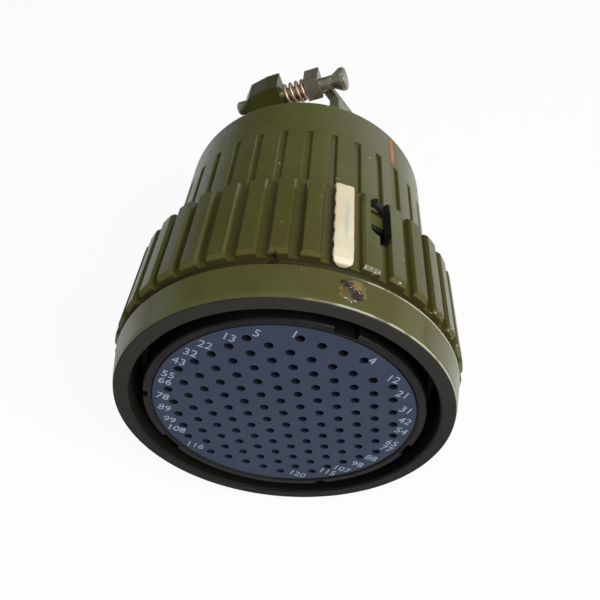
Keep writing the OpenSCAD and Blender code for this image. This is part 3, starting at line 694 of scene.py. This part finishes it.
# the rise is a dome, (1 - u^2)^0.5, with lumps: 0.5 + 0.5 sin(9u + 3 cos v) cos 3v
lumps = 0.5 + 0.5 * np.sin(u * 9 + 3 * np.cos(v)) * np.cos(v * 3)
rise = lacquer["rise"] * np.sqrt(np.clip(1 - u ** 2, 0, 1)) * (0.75 + 0.35 * lumps)
outer = aroundAxis(clock, along * mm, (bandRadius + rise + lacquer["lift"]) * mm)
inner = aroundAxis(clock, along * mm, (bandRadius - lacquer["under"]) * mm)
points, faces = slab(outer, inner)
makePiece("lacquerBlob", points, faces, "amberLacquer", "sleeve")
print("lacquer done")


def cameraMix(tree, share, plainSurface, whiteSurface, output):
    # the camera sees the white surface by this share, and all other rays see the plain one
    lightPath = addNode(tree, "ShaderNodeLightPath").outputs["Is Camera Ray"]
    chooser = addNode(tree, "ShaderNodeMixShader")
    fill(tree, chooser.inputs[0], product(tree, lightPath, share) if share < 1 else lightPath)
    fill(tree, chooser.inputs[1], plainSurface)
    fill(tree, chooser.inputs[2], whiteSurface)
    fill(tree, tree.nodes[output].inputs["Surface"], chooser.outputs[0])


backdrop = {"floor": -0.0302, "size": 3.0, "colour": (0.8, 0.8, 0.8), "roughness": 0.7,
            "whiteShare": 0.93}
half, low = backdrop["size"] / 2, backdrop["floor"]
floorMesh = bpy.data.meshes.new("floor")
floorMesh.from_pydata([(-half, -half, low), (half, -half, low), (half, half, low),
                       (-half, half, low)], [], [(0, 1, 2, 3)])
floor = addObject("floor", floorMesh)
floorMaterial, floorTree, floorShader = newMaterial("paleFloor")
fillAll(floorTree, floorShader, {"Base Color": backdrop["colour"],
                                 "Roughness": backdrop["roughness"]})
glow = addNode(floorTree, "ShaderNodeEmission")
fillAll(floorTree, glow, {"Color": (1, 1, 1), "Strength": 1.0})
cameraMix(floorTree, backdrop["whiteShare"], floorShader.outputs[0], glow.outputs[0],
          "Material Output")
floorMesh.materials.append(floorMaterial)

# a pale room: brightest near the horizon and to the right, dark high up behind the object
room = {"plain": 0.38, "horizon": 0.5, "horizonHeight": (0.12, 0.42), "depth": 0.8,
        "darkToward": (-0.348, 0.795, 0.497), "darkEdge": (0.80, 0.93), "middle": 0.75,
        "rightward": 0.22, "colour": (0.97, 0.98, 1.0)}
world = bpy.data.worlds.new("paleRoom")
bpy.context.scene.world = world
world.use_nodes = True
worldTree = world.node_tree
plain = worldTree.nodes["Background"]
toward = addNode(worldTree, "ShaderNodeTexCoord").outputs["Generated"]
splitWorld = addNode(worldTree, "ShaderNodeSeparateXYZ")
worldTree.links.new(toward, splitWorld.inputs[0])
darkSide = addNode(worldTree, "ShaderNodeVectorMath", operation="DOT_PRODUCT")
worldTree.links.new(toward, darkSide.inputs[0])
darkSide.inputs[1].default_value = room["darkToward"]
behind = stepUp(worldTree, darkSide.outputs["Value"], *room["darkEdge"])
nearHorizon = stepDown(worldTree, splitWorld.outputs[2], *room["horizonHeight"])
light = mathNode(worldTree, "ADD", room["plain"], product(worldTree, nearHorizon, room["horizon"]))
aside = mathNode(worldTree, "ADD", room["middle"],
                 product(worldTree, splitWorld.outputs[0], room["rightward"]))
kept = mathNode(worldTree, "SUBTRACT", 1.0, product(worldTree, behind, room["depth"]))
fillAll(worldTree, plain, {"Strength": product(worldTree, light, aside, kept),
                           "Color": room["colour"]})
white = addNode(worldTree, "ShaderNodeBackground")
fillAll(worldTree, white, {"Color": (1, 1, 1), "Strength": 1.0})
cameraMix(worldTree, 1.0, plain.outputs[0], white.outputs[0], "World Output")


def addLamp(name, place, size, power, colour):
    lamp = bpy.data.lights.new(name, "AREA")
    lamp.shape = "DISK"
    lamp.size = size
    lamp.energy = power
    lamp.color = colour
    holder = addObject(name, lamp)
    holder.location = place
    toObject = Vector((0, 0.02, 0)) - Vector(place)
    holder.rotation_euler = toObject.to_track_quat("-Z", "Y").to_euler()


addLamp("keyLamp", (0.31, -0.27, 0.35), size=0.3, power=2.5, colour=(1.0, 0.98, 0.94))
addLamp("fillLamp", (-0.05, -0.12, 0.60), size=0.4, power=0.9, colour=(0.97, 0.98, 1.0))

view = {"place": (0.00667, -0.05849, 0.08719), "toward": (-0.0463, 0.6983, -0.7143),
        "up": (-0.0472, 0.7127, 0.6998), "lens": 36.97, "sensor": 36, "near": 0.002}
cameraData = bpy.data.cameras.new("camera")
cameraData.lens = view["lens"]
cameraData.sensor_width = view["sensor"]
cameraData.clip_start = view["near"]
camera = addObject("camera", cameraData)
back = -Vector(view["toward"]).normalized()
right = Vector(view["up"]).cross(back).normalized()
turned = Matrix((right, back.cross(right), back)).transposed()
camera.matrix_world = Matrix.Translation(view["place"]) @ turned.to_4x4()
bpy.context.scene.camera = camera
print("stage done")
